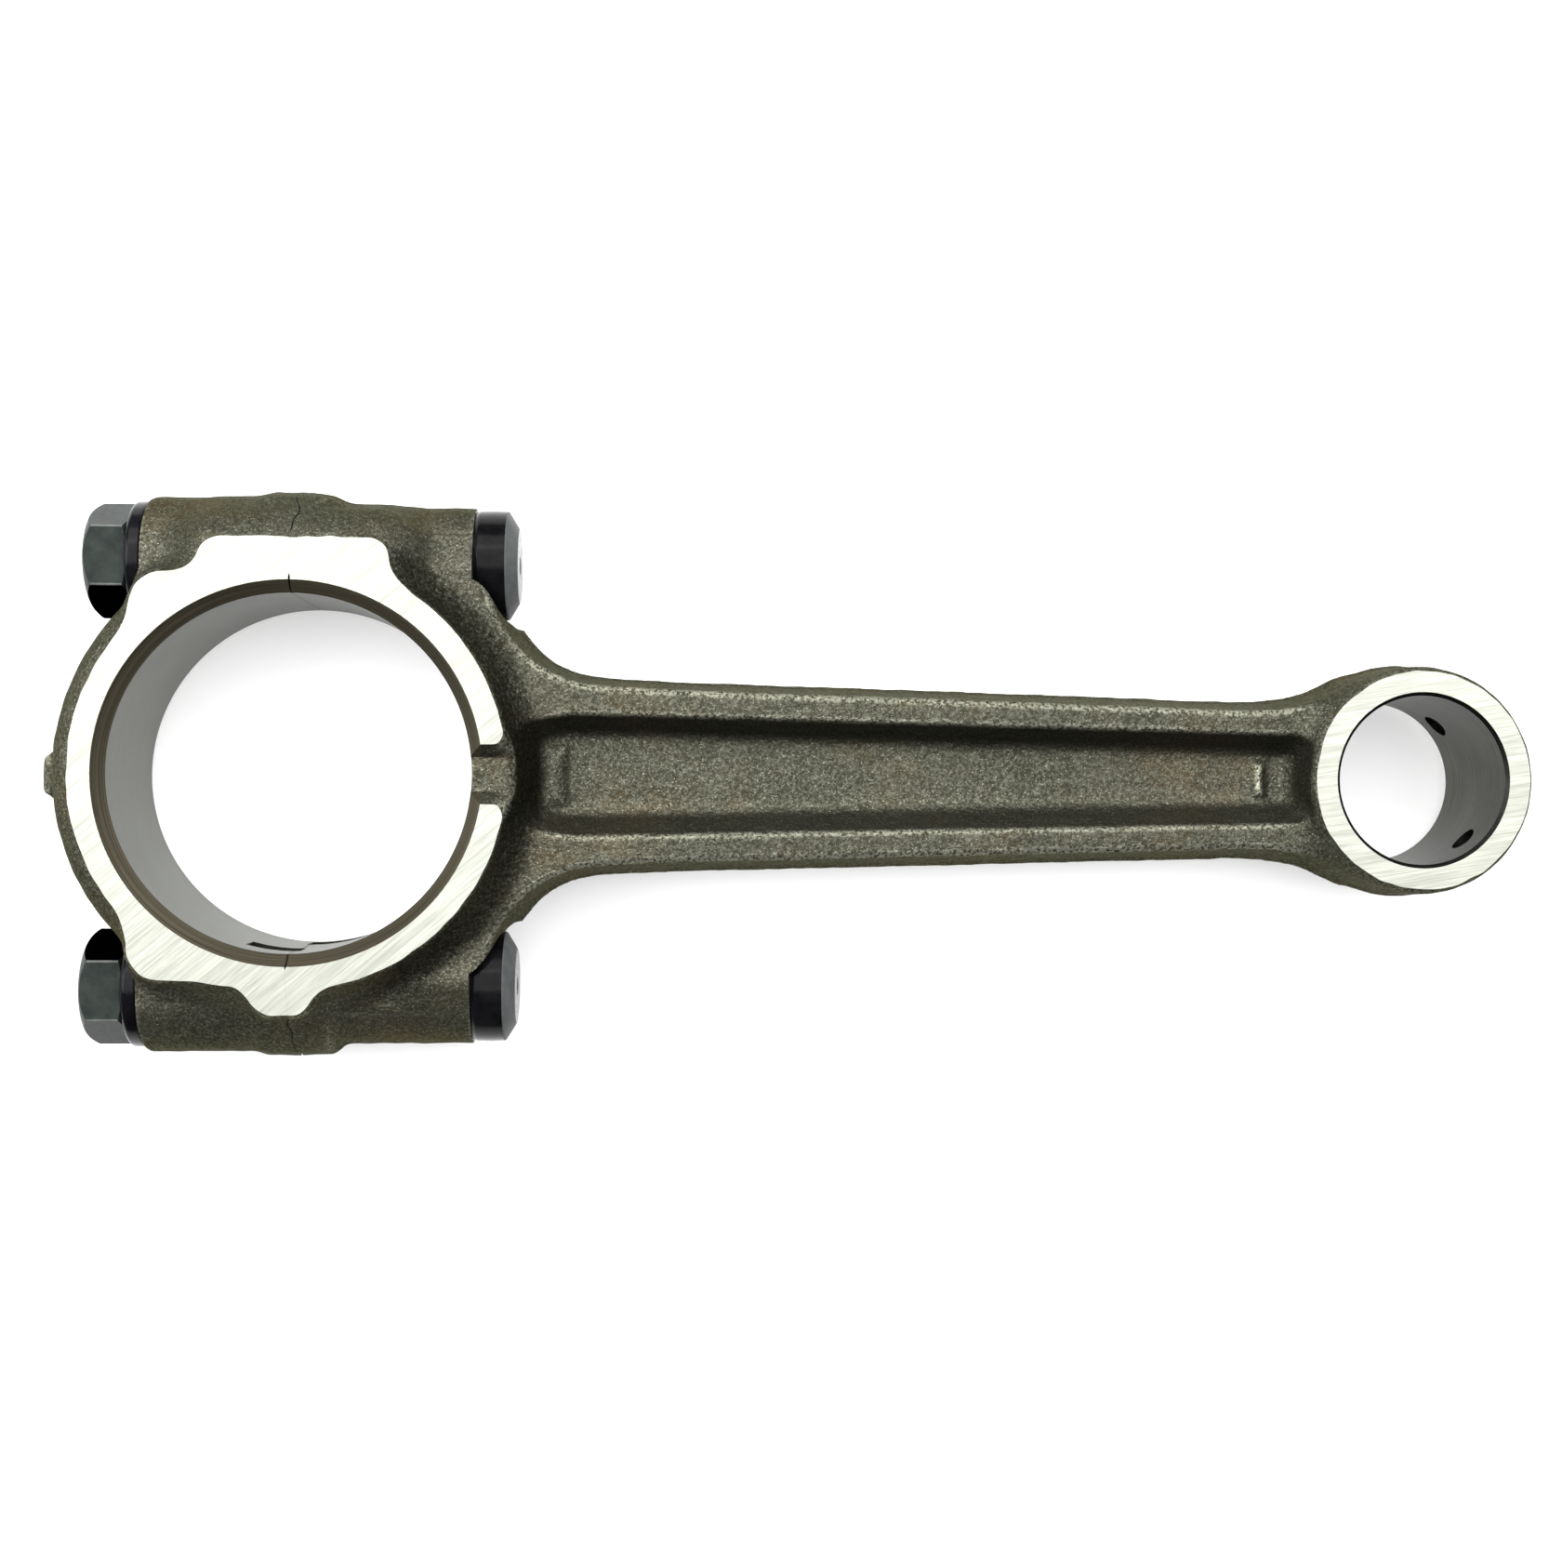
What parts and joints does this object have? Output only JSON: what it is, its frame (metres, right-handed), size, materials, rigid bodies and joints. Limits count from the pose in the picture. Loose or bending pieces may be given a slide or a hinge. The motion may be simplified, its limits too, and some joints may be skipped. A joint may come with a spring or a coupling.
{
  "type": "connecting rod",
  "caption": "Forged I-section connecting rod with a split big end, a bearing cap held by two bolts, washers and hexagon nuts, and a plain small end bore.",
  "frame": {"origin": "centre of the big end bore, halfway through its width", "axes": "+X along the rod to the small end, +Z along both bores, +Y across the two bolts"},
  "size_m": [0.1931, 0.0726, 0.025],
  "materials": {
    "forged_steel": "shot-blasted olive-grey forging skin, with bright ground side faces and fine-bored bores",
    "black_oxide_bolt": "glossy black oxide",
    "black_oxide_washer": "glossy black oxide",
    "black_oxide_nut": "satin black oxide"
  },
  "bodies": {
    "rod": {"rod_forging": "forged_steel", "rod_bolt_upper": "black_oxide_bolt", "rod_bolt_lower": "black_oxide_bolt"},
    "cap": {"bearing_cap": "forged_steel"},
    "upper_washer": {"washer_upper": "black_oxide_washer"},
    "upper_nut": {"nut_upper": "black_oxide_nut"},
    "lower_washer": {"washer_lower": "black_oxide_washer"},
    "lower_nut": {"nut_lower": "black_oxide_nut"}
  },
  "joints": [
    {"name": "cap_draw", "type": "slide", "parent": "rod", "child": "cap", "axis": [-1, 0, 0], "range_m": [0, 0.04]},
    {"name": "upper_washer_slide", "type": "slide", "parent": "cap", "child": "upper_washer", "axis": [-1, 0, 0], "range_m": [0, 0.0071]},
    {"name": "upper_nut_turn", "type": "hinge", "parent": "upper_washer", "child": "upper_nut", "pos_m": [-0.0245, 0.0275, 0], "axis": [-1, 0, 0], "range_deg": [0, 2520]},
    {"name": "lower_washer_slide", "type": "slide", "parent": "cap", "child": "lower_washer", "axis": [-1, 0, 0], "range_m": [0, 0.0071]},
    {"name": "lower_nut_turn", "type": "hinge", "parent": "lower_washer", "child": "lower_nut", "pos_m": [-0.0245, -0.0275, 0], "axis": [-1, 0, 0], "range_deg": [0, 2520]}
  ],
  "couplings": [
    {"joint": "upper_washer_slide", "follows": "upper_nut_turn", "m_per_rad": 0.00015915},
    {"joint": "lower_washer_slide", "follows": "lower_nut_turn", "m_per_rad": 0.00015915}
  ]
}
